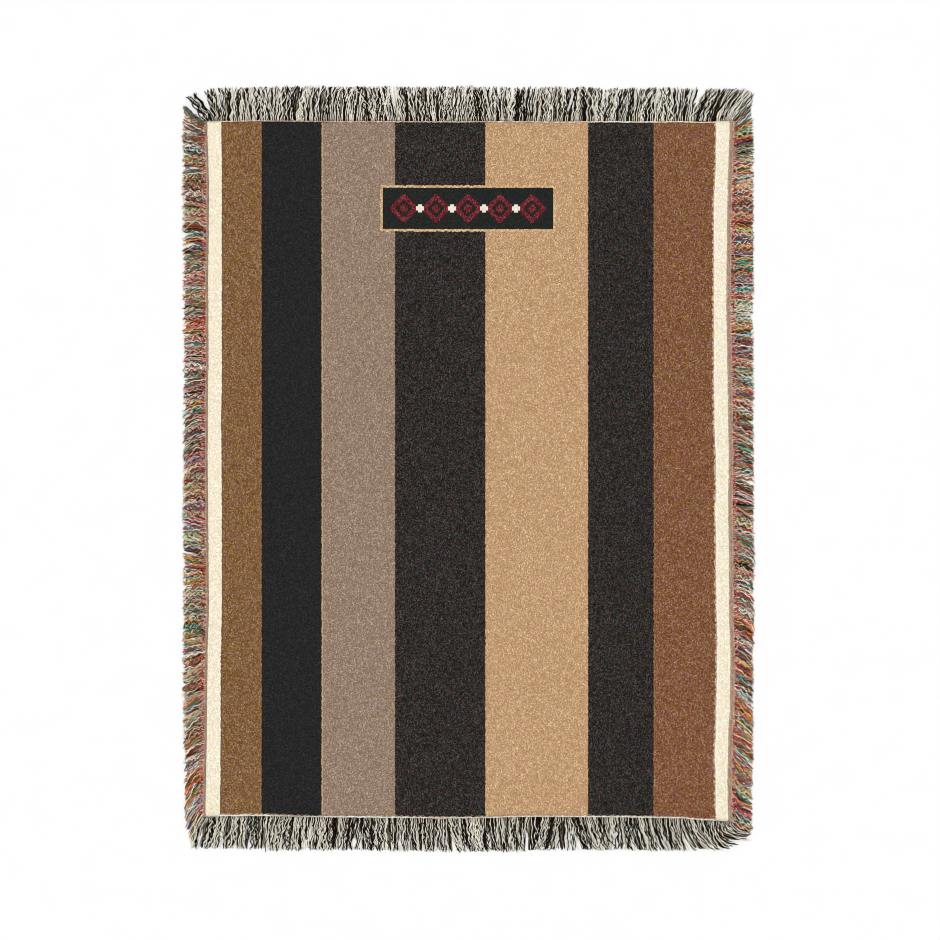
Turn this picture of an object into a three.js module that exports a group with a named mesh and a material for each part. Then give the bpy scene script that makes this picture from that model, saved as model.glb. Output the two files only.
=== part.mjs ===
// A flat fringed throw blanket, laid face up on a level surface.
// Millimetres. +X runs across the stripes, +Y along them, +Z up; the underside lies on z = 0.
import * as THREE from "three";

const CLOTH_THICK = 2.4; // two woven layers, stitched together by the pattern
const FRINGE_THICK = 3.0; // yarn ends lie over each other
const CLEAR = 0.3; // between the cloth and each fringe
const HEADING = 7; // depth of the row of yarn roots that each comb grows from
const TUFT_PITCH = 21; // yarn ends fall together into tufts about this wide
const ROOT_SLOT = 1.8; // between two tufts at their roots
const TIP_SLOT = 3.2; // between two tufts at their tips
const TUFT_WIDEST = 19;
const BEND_AT = 0.55; // share of a tuft's length where it bends
const BEND_SHARE = 0.42; // share of the lean that is reached there
const RAGGED = 4; // how unevenly the tips are trimmed
const OUTLINE_STEP = 36; // spacing of the points along the cloth's edge

// Side edges of the cloth, from the upper corner to the lower one.
const SIDES = [
  { y: 838, left: -634.0, right: 640.0 },
  { y: 808, left: -633.5, right: 639.2 },
  { y: 748, left: -631.3, right: 637.1 },
  { y: 688, left: -629.9, right: 634.7 },
  { y: 568, left: -630.1, right: 633.0 },
  { y: 448, left: -632.0, right: 632.0 },
  { y: 388, left: -631.1, right: 631.6 },
  { y: 268, left: -630.8, right: 633.7 },
  { y: 148, left: -632.5, right: 635.6 },
  { y: 28, left: -632.8, right: 637.6 },
  { y: -92, left: -631.8, right: 635.9 },
  { y: -212, left: -630.8, right: 638.0 },
  { y: -332, left: -630.1, right: 638.3 },
  { y: -452, left: -633.0, right: 641.2 },
  { y: -572, left: -634.7, right: 640.2 },
  { y: -632, left: -634.9, right: 636.6 },
  { y: -752, left: -636.8, right: 634.4 },
  { y: -812, left: -638.0, right: 635.4 },
  { y: -850, left: -638.6, right: 636.4 },
];

// End edges of the cloth, from left to right.
const ENDS = [
  { x: -640, top: 835.4, bottom: -836.4 },
  { x: -590, top: 835.0, bottom: -836.2 },
  { x: -494, top: 836.9, bottom: -835.2 },
  { x: -350, top: 835.9, bottom: -837.8 },
  { x: -158, top: 836.4, bottom: -838.6 },
  { x: -62, top: 835.7, bottom: -840.0 },
  { x: 34, top: 836.2, bottom: -839.5 },
  { x: 130, top: 835.9, bottom: -837.1 },
  { x: 226, top: 835.0, bottom: -837.1 },
  { x: 322, top: 835.7, bottom: -837.1 },
  { x: 418, top: 835.2, bottom: -838.1 },
  { x: 514, top: 836.4, bottom: -839.3 },
  { x: 562, top: 835.0, bottom: -843.6 },
  { x: 642, top: 835.9, bottom: -847.4 },
];

// Each fringe: where its tips end, measured outwards from the middle of the throw,
// and how far they lean along the edge (towards +X or +Y).
const TOP_FRINGE = [
  { at: -634, tip: 889, lean: -46 },
  { at: -606, tip: 911, lean: -20 },
  { at: -560, tip: 914, lean: -5 },
  { at: -480, tip: 916, lean: 6 },
  { at: -380, tip: 917, lean: -2 },
  { at: -200, tip: 916, lean: 4 },
  { at: 0, tip: 916, lean: -3 },
  { at: 200, tip: 915, lean: 2 },
  { at: 330, tip: 913, lean: 3 },
  { at: 500, tip: 914, lean: 1 },
  { at: 540, tip: 912, lean: 20 },
  { at: 575, tip: 911, lean: 40 },
  { at: 612, tip: 911, lean: 44 },
  { at: 640, tip: 902, lean: 54 },
];
const BOTTOM_FRINGE = [
  { at: -634, tip: 906, lean: -27 },
  { at: -600, tip: 909, lean: -22 },
  { at: -540, tip: 911, lean: -13 },
  { at: -450, tip: 912, lean: -6 },
  { at: -300, tip: 914, lean: 0 },
  { at: 0, tip: 917, lean: 1 },
  { at: 200, tip: 914, lean: 4 },
  { at: 300, tip: 914, lean: 20 },
  { at: 335, tip: 914, lean: 10 },
  { at: 430, tip: 914, lean: 8 },
  { at: 490, tip: 913, lean: 25 },
  { at: 540, tip: 912, lean: 38 },
  { at: 580, tip: 908, lean: 46 },
  { at: 612, tip: 898, lean: 50 },
  { at: 640, tip: 876, lean: 56 },
];
const LEFT_FRINGE = [
  { at: -840, tip: 677, lean: -44 },
  { at: -800, tip: 678, lean: -36 },
  { at: -750, tip: 680, lean: -26 },
  { at: -650, tip: 681, lean: -20 },
  { at: -500, tip: 685, lean: -18 },
  { at: -372, tip: 685, lean: -20 },
  { at: -350, tip: 684, lean: -10 },
  { at: -150, tip: 685, lean: -10 },
  { at: 0, tip: 684, lean: -10 },
  { at: 200, tip: 682, lean: -11 },
  { at: 400, tip: 683, lean: -8 },
  { at: 560, tip: 685, lean: -7 },
  { at: 700, tip: 686, lean: -3 },
  { at: 755, tip: 686, lean: -1 },
  { at: 790, tip: 686, lean: 16 },
  { at: 840, tip: 684, lean: 40 },
];
const RIGHT_FRINGE = [
  { at: -850, tip: 668, lean: -10 },
  { at: -800, tip: 677, lean: -34 },
  { at: -700, tip: 682, lean: -34 },
  { at: -550, tip: 684, lean: -30 },
  { at: -400, tip: 684, lean: -22 },
  { at: -200, tip: 686, lean: -18 },
  { at: -50, tip: 685, lean: -12 },
  { at: 100, tip: 685, lean: -6 },
  { at: 300, tip: 684, lean: -4 },
  { at: 500, tip: 684, lean: -2 },
  { at: 700, tip: 684, lean: 3 },
  { at: 790, tip: 685, lean: 8 },
  { at: 815, tip: 684, lean: 20 },
  { at: 840, tip: 681, lean: 36 },
];

// A smooth curve through one column of a table.
function curveOf(rows, key, column) {
  const sorted = [...rows].sort((a, b) => a[key] - b[key]);
  return (at) => {
    let i = 0;
    while (i < sorted.length - 2 && at > sorted[i + 1][key]) i++;
    const a = sorted[i],
      b = sorted[i + 1];
    const t = THREE.MathUtils.clamp((at - a[key]) / (b[key] - a[key]), 0, 1);
    return THREE.MathUtils.lerp(a[column], b[column], t * t * (3 - 2 * t));
  };
}

// A repeatable stream of numbers between -1 and 1.
function uneven(seed) {
  let state = seed >>> 0;
  return () => {
    state = (Math.imul(state, 1664525) + 1013904223) >>> 0;
    return state / 2147483648 - 1;
  };
}

const edge = {
  top: curveOf(ENDS, "x", "top"),
  bottom: curveOf(ENDS, "x", "bottom"),
  left: curveOf(SIDES, "y", "left"),
  right: curveOf(SIDES, "y", "right"),
};
const corner = {
  topLeft: [edge.left(836), edge.top(-634)],
  topRight: [edge.right(836), edge.top(640)],
  bottomLeft: [edge.left(-836), edge.bottom(-638)],
  bottomRight: [edge.right(-847), edge.bottom(636)],
};

function stations(from, to) {
  const count = Math.max(2, Math.round(Math.abs(to - from) / OUTLINE_STEP));
  return Array.from({ length: count + 1 }, (_, i) =>
    THREE.MathUtils.lerp(from, to, i / count),
  );
}

function clothOutline() {
  const { topLeft, topRight, bottomLeft, bottomRight } = corner;
  const inner = (list) => list.slice(1, -1);
  return [
    new THREE.Vector2(...bottomLeft),
    ...inner(stations(bottomLeft[0], bottomRight[0])).map(
      (x) => new THREE.Vector2(x, edge.bottom(x)),
    ),
    new THREE.Vector2(...bottomRight),
    ...inner(stations(bottomRight[1], topRight[1])).map(
      (y) => new THREE.Vector2(edge.right(y), y),
    ),
    new THREE.Vector2(...topRight),
    ...inner(stations(topRight[0], topLeft[0])).map(
      (x) => new THREE.Vector2(x, edge.top(x)),
    ),
    new THREE.Vector2(...topLeft),
    ...inner(stations(topLeft[1], bottomLeft[1])).map(
      (y) => new THREE.Vector2(edge.left(y), y),
    ),
  ];
}

// One comb: a heading that follows the cloth's edge, and a leaning tuft at every pitch.
// s runs along the edge and o outwards from the middle of the throw.
function combOutline({ from, to, rim, rows, place, seed }) {
  const tipAt = curveOf(rows, "at", "tip");
  const leanAt = curveOf(rows, "at", "lean");
  const rough = uneven(seed);
  const count = Math.round((to - from) / TUFT_PITCH);
  const pitch = (to - from) / count;
  const tufts = Array.from({ length: count }, (_, i) => {
    const s = from + (i + 0.5) * pitch;
    const inside = i > 0 && i < count - 1;
    const lean = leanAt(s) + (inside ? 3.2 * rough() : 0);
    return {
      root: s,
      bend: s + BEND_SHARE * lean,
      tip: s + lean,
      reach: tipAt(s),
      cut: [RAGGED * rough(), RAGGED * rough()],
    };
  });
  // A tuft's two sides at one level, kept clear of its neighbours there.
  const sides = (i, level, slot) => {
    const own = tufts[i][level];
    const before = i > 0 ? tufts[i - 1][level] : own - pitch;
    const after = i < count - 1 ? tufts[i + 1][level] : own + pitch;
    const half = TUFT_WIDEST / 2;
    return [
      Math.max(own - half, (before + own) / 2 + slot / 2),
      Math.min(own + half, (after + own) / 2 - slot / 2),
    ];
  };
  const points = stations(from, to).map((s) => place(s, rim(s) + CLEAR));
  for (let i = count - 1; i >= 0; i--) {
    const t = tufts[i];
    const foot = rim(t.root) + HEADING;
    const knee = THREE.MathUtils.lerp(foot, t.reach, BEND_AT);
    const [r0, r1] = [
      i > 0 ? t.root - (pitch - ROOT_SLOT) / 2 : from,
      i < count - 1 ? t.root + (pitch - ROOT_SLOT) / 2 : to,
    ];
    const [b0, b1] = sides(i, "bend", (ROOT_SLOT + TIP_SLOT) / 2);
    const [t0, t1] = sides(i, "tip", TIP_SLOT);
    points.push(
      place(r1, foot),
      place(b1, knee),
      place(t1 - 1.5, t.reach + t.cut[0]),
      place(t0 + 1.5, t.reach + t.cut[1]),
      place(b0, knee),
      place(r0, foot),
    );
  }
  return points;
}

const COMBS = [
  {
    name: "fringe_top",
    from: corner.topLeft[0],
    to: corner.topRight[0],
    rim: (s) => edge.top(s),
    rows: TOP_FRINGE,
    place: (s, o) => new THREE.Vector2(s, o),
    seed: 11,
  },
  {
    name: "fringe_bottom",
    from: corner.bottomLeft[0],
    to: corner.bottomRight[0],
    rim: (s) => -edge.bottom(s),
    rows: BOTTOM_FRINGE,
    place: (s, o) => new THREE.Vector2(s, -o),
    seed: 23,
  },
  {
    name: "fringe_left",
    from: corner.bottomLeft[1],
    to: corner.topLeft[1],
    rim: (s) => -edge.left(s),
    rows: LEFT_FRINGE,
    place: (s, o) => new THREE.Vector2(-o, s),
    seed: 37,
  },
  {
    name: "fringe_right",
    from: corner.bottomRight[1],
    to: corner.topRight[1],
    rim: (s) => edge.right(s),
    rows: RIGHT_FRINGE,
    place: (s, o) => new THREE.Vector2(o, s),
    seed: 53,
  },
];

const flat = [
  { name: "throw_body", points: clothOutline(), thick: CLOTH_THICK },
  ...COMBS.map((comb) => ({
    name: comb.name,
    points: combOutline(comb),
    thick: FRINGE_THICK,
  })),
];

// The origin is the middle of the whole outline, fringes included.
const box = new THREE.Box2();
for (const { points } of flat) points.forEach((p) => box.expandByPoint(p));
const middle = box.getCenter(new THREE.Vector2());

const look = {
  throw_body: { color: 0x8f7258, roughness: 0.92, metalness: 0 },
  fringe_top: { color: 0x77736b, roughness: 0.9, metalness: 0 },
  fringe_bottom: { color: 0x77736b, roughness: 0.9, metalness: 0 },
  fringe_left: { color: 0x8c7362, roughness: 0.9, metalness: 0 },
  fringe_right: { color: 0x8c7362, roughness: 0.9, metalness: 0 },
};

const group = new THREE.Group();
group.name = "fringed_throw";
for (const { name, points, thick } of flat) {
  const shape = new THREE.Shape(points.map((p) => p.clone().sub(middle)));
  const geometry = new THREE.ExtrudeGeometry(shape, {
    depth: thick,
    bevelEnabled: false,
    steps: 1,
  });
  const mesh = new THREE.Mesh(
    geometry,
    new THREE.MeshStandardMaterial(look[name]),
  );
  mesh.name = name;
  group.add(mesh);
}

export default group;
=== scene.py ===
"""Looks of a flat fringed throw blanket: one woven sheet with lengthwise stripes, loose yarn ends along every edge,
and the stitch rows that lock them. Tables are in millimetres as seen from above; everything is built in metres."""

import math

import bpy
import numpy as np
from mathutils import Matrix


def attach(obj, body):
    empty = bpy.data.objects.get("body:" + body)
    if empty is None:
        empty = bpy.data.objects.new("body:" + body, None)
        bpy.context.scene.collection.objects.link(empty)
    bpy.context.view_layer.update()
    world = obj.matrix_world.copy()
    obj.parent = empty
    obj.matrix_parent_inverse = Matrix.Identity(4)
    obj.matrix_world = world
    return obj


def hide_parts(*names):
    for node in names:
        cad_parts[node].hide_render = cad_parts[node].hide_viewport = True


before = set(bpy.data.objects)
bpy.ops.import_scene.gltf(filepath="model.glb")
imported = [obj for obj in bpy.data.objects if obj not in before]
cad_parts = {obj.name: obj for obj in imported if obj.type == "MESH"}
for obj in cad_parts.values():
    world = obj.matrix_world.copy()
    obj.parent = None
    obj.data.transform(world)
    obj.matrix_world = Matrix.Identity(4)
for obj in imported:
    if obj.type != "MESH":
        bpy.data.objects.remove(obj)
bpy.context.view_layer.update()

MM = 0.001
SHIFT = (0.437, 0.240)  # from the tables' middle to the middle of the whole outline
CLOTH_THICK = 2.4

# ---------------------------------------------------------------- outline tables

SIDES = {  # cloth's side edges
    "y": [838, 808, 748, 688, 568, 448, 388, 268, 148, 28, -92, -212, -332, -452, -572, -632, -752, -812, -850],
    "left": [-634.0, -633.5, -631.3, -629.9, -630.1, -632.0, -631.1, -630.8, -632.5, -632.8, -631.8, -630.8, -630.1, -633.0, -634.7, -634.9, -636.8, -638.0, -638.6],
    "right": [640.0, 639.2, 637.1, 634.7, 633.0, 632.0, 631.6, 633.7, 635.6, 637.6, 635.9, 638.0, 638.3, 641.2, 640.2, 636.6, 634.4, 635.4, 636.4],
}
ENDS = {  # cloth's end edges
    "x": [-640, -590, -494, -350, -158, -62, 34, 130, 226, 322, 418, 514, 562, 642],
    "top": [835.4, 835.0, 836.9, 835.9, 836.4, 835.7, 836.2, 835.9, 835.0, 835.7, 835.2, 836.4, 835.0, 835.9],
    "bottom": [-836.4, -836.2, -835.2, -837.8, -838.6, -840.0, -839.5, -837.1, -837.1, -837.1, -838.1, -839.3, -843.6, -847.4],
}
CREAM_EDGES = {  # inner edges of the two cream bands, which wander a little
    "y": [840, 808, 748, 627, 508, 418, 328, 208, 118, 66, 28, -52, -100, -148, -242, -332, -392, -482, -572, -630, -676, -730, -812, -850],
    "left": [-592.9, -592.9, -591.5, -591.5, -591.5, -591.5, -591.5, -591.5, -593.6, -592.8, -592.2, -591.8, -591.5, -591.5, -591.5, -591.5, -592.9, -594.4, -594.6, -594.6, -594.6, -594.7, -595.8, -596.0],
    "right": [595.1, 595.1, 594.6, 589.4, 590.0, 589.8, 590.2, 589.8, 590.6, 592.2, 594.4, 594.7, 592.0, 594.6, 594.8, 595.6, 597.5, 597.0, 595.0, 594.4, 591.6, 593.4, 594.4, 594.8],
}
TOP = {  # along the edge: how far out the tips lie, how far they lean, how far tufts part, and whether a yarn goes out first (+) or sideways first (-)
    "at": [-634, -624, -617, -611, -604, -594, -560, -522, -450, -378, -306, -234, -162, -90, -18, 53, 125, 197, 269, 341, 413, 485, 512, 534, 557, 612, 628, 640],
    "tip": [891, 892, 897, 909, 911, 912, 914, 915, 916, 917, 917, 916, 916, 916, 916, 916, 915, 915, 914, 913, 913, 914, 914, 912, 911, 911, 906, 900],
    "lean": [-43, -45, -42, -16, -12, -8, -5, -2, 2, 10, 15, -9, -4, -9, 12, -7, 9, 8, 14, 9, 15, 3, 8, 28, 40, 43, 45, 44],
    "open": [1.2, 1.2, 1.0, 0.9, 0.9, 0.9, 0.9, 0.85, 0.8, 0.75, 0.55, 0.35, 0.3, 0.27, 0.25, 0.3, 0.4, 0.5, 0.75, 0.95, 0.95, 1.0, 1.0, 0.8, 0.6, 0.6, 0.6, 0.6],
    "bend": [-0.1, 0, 0.1, 0.1, 0, 0, 0, 0, 0, 0.2, 0.6, 0, 0, -0.3, 0.2, 0, 0, 0, 0.4, 0, 0, -0.2, 0, 0, 0, 0, -0.15, -0.3],
}
BOTTOM = {
    "at": [-634, -615, -594, -560, -522, -450, -378, -306, -234, -162, -90, -18, 53, 125, 197, 269, 300, 341, 413, 485, 540, 565, 585, 600, 620, 640],
    "tip": [908, 909, 910, 911, 911, 912, 913, 914, 914, 915, 916, 917, 916, 915, 914, 914, 914, 914, 914, 913, 911, 911, 906, 890, 877, 869],
    "lean": [-22, -21, -19, -13, -3, -10, -5, -7, 10, 7, -4, 18, 15, 1, -13, 21, 20, -2, 24, 32, 46, 54, 57, 56, 44, 30],
    "open": [0.2, 0.2, 0.2, 0.2, 0.22, 0.25, 0.28, 0.3, 0.33, 0.37, 0.41, 0.44, 0.48, 0.53, 0.6, 0.8, 0.9, 0.9, 0.65, 0.5, 0.5, 0.5, 0.5, 0.4, 0.3, 0.3],
    "bend": [-0.3, -0.3, -0.3, -0.3, -0.3, -0.3, -0.1, 0, 0, 0, 0.2, 0.2, 0.2, 0, 0, 0, 0, 0, 0.1, 0.2, 0.2, 0.3, 0.5, 0.9, 1, 1],
}
LEFT = {  # bow: how far the middle of a yarn arches along the edge
    "at": [-840, -822, -800, -772, -676, -580, -484, -388, -292, -196, -100, -4, 92, 188, 284, 380, 476, 572, 668, 740, 764, 790, 840],
    "tip": [663, 671, 678, 679, 681, 683, 685, 685, 684, 685, 685, 684, 684, 683, 682, 683, 684, 685, 686, 686, 686, 686, 684],
    "lean": [-60, -56, -50, -45, -28, -24, -15, -7, -11, 12, -2, -18, -26, -7, 0, -9, -10, 2, 6, 4, 6, 14, 38],
    "open": [0.3, 0.3, 0.3, 0.3, 0.4, 0.4, 0.5, 0.8, 0.8, 0.5, 0.45, 0.45, 0.5, 0.5, 0.45, 0.4, 0.4, 0.4, 0.5, 0.8, 0.9, 0.9, 0.9],
    "bend": [0, 0, 0, 0, 0, 0, 0, 0, 0, 0, 0, 0, 0, 0, 0, 0, 0, 0, 0, 0, 0, 0, 0],
    "bow": [0, 0, 0, 1.5, 3, 1.5, -2.5, 2.5, 1, 0, 4.5, 3, 4.5, 2, 4.5, 2, 4.5, 4, 4, 3.5, 3, 1, 0],
}
RIGHT = {
    "at": [-850, -825, -800, -784, -750, -700, -640, -550, -484, -388, -292, -200, -100, 0, 92, 188, 284, 380, 476, 572, 668, 764, 800, 840],
    "tip": [678, 682, 681, 681, 681, 682, 683, 684, 684, 684, 685, 686, 685, 685, 685, 685, 684, 684, 684, 684, 684, 685, 685, 681],
    "lean": [-18, -34, -42, -39, -36, -41, -38, -31, -25, -24, -22, -20, -11, -11, -20, -10, -4, -1, 2, -2, 8, 0, 4, 42],
    "open": [0.3, 0.3, 0.3, 0.3, 0.3, 0.3, 0.3, 0.35, 0.3, 0.3, 0.4, 0.6, 0.5, 0.4, 0.3, 0.3, 0.25, 0.25, 0.25, 0.25, 0.3, 0.35, 0.6, 0.9],
    "bend": [-1, -1, -0.8, -0.7, -0.5, -0.2, 0, 0, -0.2, 0.2, 0.2, 0.3, 0, 0, 0, 0, 0, 0.2, 0, 0.2, 0.2, 0, 0, 0],
    "bow": [0, 0, 0, 0, 0, 0, 0, 0, -2, 2.5, 0, 2, 0, 0, 0, 1, 0, 0, 0, 0, 0, 0, 0, 0],
}


def curve(at, value):
    """A smooth curve through a table's column, as the solids have it."""
    at, value = np.array(at, float), np.array(value, float)
    order = np.argsort(at)
    at, value = at[order], value[order]

    def read(s):
        s = np.asarray(s, float)
        i = np.clip(np.searchsorted(at, s) - 1, 0, len(at) - 2)
        t = np.clip((s - at[i]) / (at[i + 1] - at[i]), 0, 1)
        return value[i] + (value[i + 1] - value[i]) * t * t * (3 - 2 * t)

    return read


edge_top = curve(ENDS["x"], ENDS["top"])
edge_bottom = curve(ENDS["x"], ENDS["bottom"])
edge_left = curve(SIDES["y"], SIDES["left"])
edge_right = curve(SIDES["y"], SIDES["right"])
cream_left = curve(CREAM_EDGES["y"], CREAM_EDGES["left"])
cream_right = curve(CREAM_EDGES["y"], CREAM_EDGES["right"])
TL = (float(edge_left(836)), float(edge_top(-634)))
TR = (float(edge_right(836)), float(edge_top(640)))
BL = (float(edge_left(-836)), float(edge_bottom(-638)))
BR = (float(edge_right(-847)), float(edge_bottom(636)))


def lin(rgb):
    """sRGB 0-255 to linear."""
    c = np.asarray(rgb, float) / 255.0
    return np.where(c <= 0.04045, c / 12.92, ((c + 0.055) / 1.055) ** 2.4)


LIGHT = 1.07  # how bright a white surface comes out in this light


def paint(rgb):
    """The linear colour that comes out as this sRGB colour in this light."""
    c = np.clip(lin(rgb) / LIGHT, 0.0, 0.97)
    return (float(c[0]), float(c[1]), float(c[2]), 1.0)


# ---------------------------------------------------------------- meshes from arrays


def new_object(name, verts, faces_quads, faces_tris, smooth=True):
    """A mesh from arrays: verts (n, 3) in millimetres in the tables' frame, quads (q, 4), tris (t, 3)."""
    me = bpy.data.meshes.new(name)
    verts = (np.asarray(verts, float) + np.array([SHIFT[0], SHIFT[1], 0.0])) * MM
    nq, nt = len(faces_quads), len(faces_tris)
    loops = np.concatenate([np.asarray(faces_quads, np.int32).ravel(), np.asarray(faces_tris, np.int32).ravel()]) if nt else np.asarray(faces_quads, np.int32).ravel()
    start = np.concatenate([np.arange(nq) * 4, nq * 4 + np.arange(nt) * 3]).astype(np.int32)
    me.vertices.add(len(verts))
    me.vertices.foreach_set("co", verts.astype(np.float32).ravel())
    me.loops.add(len(loops))
    me.loops.foreach_set("vertex_index", loops.astype(np.int32))
    me.polygons.add(nq + nt)
    me.polygons.foreach_set("loop_start", start)
    me.polygons.foreach_set("use_smooth", np.full(nq + nt, smooth, bool))
    me.update(calc_edges=True)
    me.validate()
    o = bpy.data.objects.new(name, me)
    bpy.context.scene.collection.objects.link(o)
    return o


def add_uv(o, name, uv):
    layer = o.data.uv_layers.new(name=name, do_init=False)
    layer.uv.foreach_set("vector", np.asarray(uv, np.float32).ravel())


def add_colour(o, name, rgb):
    a = o.data.color_attributes.new(name, "FLOAT_COLOR", "POINT")
    rgba = np.ones((len(rgb), 4), np.float32)
    rgba[:, :3] = rgb
    a.data.foreach_set("color", rgba.ravel())


def add_float(o, name, values):
    a = o.data.attributes.new(name, "FLOAT", "POINT")
    a.data.foreach_set("value", np.asarray(values, np.float32))


def tube_arrays(path, radius, sides, colour, columns, flat, low, high):
    """Many closed tubes as arrays. path (n, m, 3), radius (n, m), colour (n, m, 3) linear, flat 1 for round yarns and less for squashed ones.
    Each tube has its own patch of the bake's map, in rows between low and high."""
    n, m, _ = path.shape
    tangent = np.gradient(path, axis=1)
    tangent /= np.linalg.norm(tangent, axis=2, keepdims=True)
    across = np.cross(tangent, np.array([0.0, 0.0, 1.0]))
    across /= np.maximum(np.linalg.norm(across, axis=2, keepdims=True), 1e-9)
    over = np.cross(across, tangent)
    ang = 2 * np.pi * np.arange(sides) / sides
    ring = path[:, :, None, :] + radius[:, :, None, None] * (
        np.cos(ang)[None, None, :, None] * across[:, :, None, :] + flat * np.sin(ang)[None, None, :, None] * over[:, :, None, :]
    )
    per = m * sides + 2
    verts = np.empty((n, per, 3))
    verts[:, : m * sides] = ring.reshape(n, m * sides, 3)
    verts[:, m * sides] = path[:, 0] - tangent[:, 0] * radius[:, :1] * 0.4
    verts[:, m * sides + 1] = path[:, -1] + tangent[:, -1] * radius[:, -1:] * 0.5
    k, j = np.meshgrid(np.arange(m - 1), np.arange(sides), indexing="ij")
    k, j = k.ravel(), j.ravel()
    jn = (j + 1) % sides
    quad = np.stack([k * sides + j, k * sides + jn, (k + 1) * sides + jn, (k + 1) * sides + j], 1)[:, ::-1]
    jj = np.arange(sides)
    jjn = (jj + 1) % sides
    cap0 = np.stack([np.full(sides, m * sides), jjn, jj], 1)
    cap1 = np.stack([np.full(sides, m * sides + 1), (m - 1) * sides + jj, (m - 1) * sides + jjn], 1)
    tri = np.concatenate([cap0, cap1])[:, ::-1]
    base = (np.arange(n) * per)[:, None, None]
    # maps: u round the yarn, v along it
    along = np.concatenate([np.zeros((n, 1)), np.cumsum(np.linalg.norm(np.diff(path, axis=1), axis=2), axis=1)], 1)
    share = along / along[:, -1:]
    q_u = np.broadcast_to((np.stack([j, j + 1, j + 1, j], 1)[:, ::-1] / sides)[None], (n, len(k), 4))
    q_k = np.stack([k, k, k + 1, k + 1], 1)[:, ::-1]
    t_u = np.concatenate([np.stack([jj + 0.5, jj + 1.0, jj + 0.0], 1), np.stack([jj + 0.5, jj + 0.0, jj + 1.0], 1)])[:, ::-1] / sides
    t_u = np.broadcast_to(t_u[None], (n, 2 * sides, 3))
    t_k = np.concatenate([np.zeros((sides, 3), int), np.full((sides, 3), m - 1)])
    t_end = np.concatenate([np.array([[0.0, 0.0, -0.02]] * sides), np.array([[0.0, 0.0, 0.02]] * sides)])
    rows = int(math.ceil(n / columns))
    col, row = (np.arange(n) % columns)[:, None, None], (np.arange(n) // columns)[:, None, None]

    def bake_map(u, v):
        return np.stack([(col + 0.06 + 0.88 * u) / columns, low + (high - low) * (row + 0.06 + 0.88 * (v * 0.94 + 0.03)) / rows], -1).reshape(-1, 2)

    ringc = np.repeat(colour, sides, axis=1)
    return {
        "verts": verts.reshape(-1, 3),
        "quads": (quad[None] + base).reshape(-1, 4),
        "tris": (tri[None] + base).reshape(-1, 3),
        "q_bake": bake_map(q_u, share[:, q_k]),
        "t_bake": bake_map(t_u, share[:, t_k] + t_end[None]),
        "q_yarn": np.stack([q_u, along[:, q_k]], -1).reshape(-1, 2),
        "t_yarn": np.stack([t_u, along[:, t_k]], -1).reshape(-1, 2),
        "dye": np.concatenate([ringc, colour[:, :1], colour[:, -1:]], 1).reshape(-1, 3),
    }


def tubes(name, groups):
    """One joined mesh of one or more groups of tubes: (path, radius, sides, colour, columns of the bake's map, flat)."""
    weight = np.cumsum([0.0] + [math.ceil(len(g[0]) / g[4]) for g in groups])
    weight /= weight[-1]
    parts = [tube_arrays(*g, low, high) for g, low, high in zip(groups, weight[:-1], weight[1:])]
    base = np.cumsum([0] + [len(p["verts"]) for p in parts])
    join = lambda key: np.concatenate([p[key] for p in parts])
    quads = np.concatenate([p["quads"] + b for p, b in zip(parts, base)])
    tris = np.concatenate([p["tris"] + b for p, b in zip(parts, base)])
    o = new_object(name, join("verts"), quads, tris)
    add_uv(o, "OFBake", np.concatenate([join("q_bake"), join("t_bake")]))
    add_uv(o, "yarn", np.concatenate([join("q_yarn"), join("t_yarn")]))
    add_colour(o, "dye", join("dye"))
    return o


# ---------------------------------------------------------------- shader helpers


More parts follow.
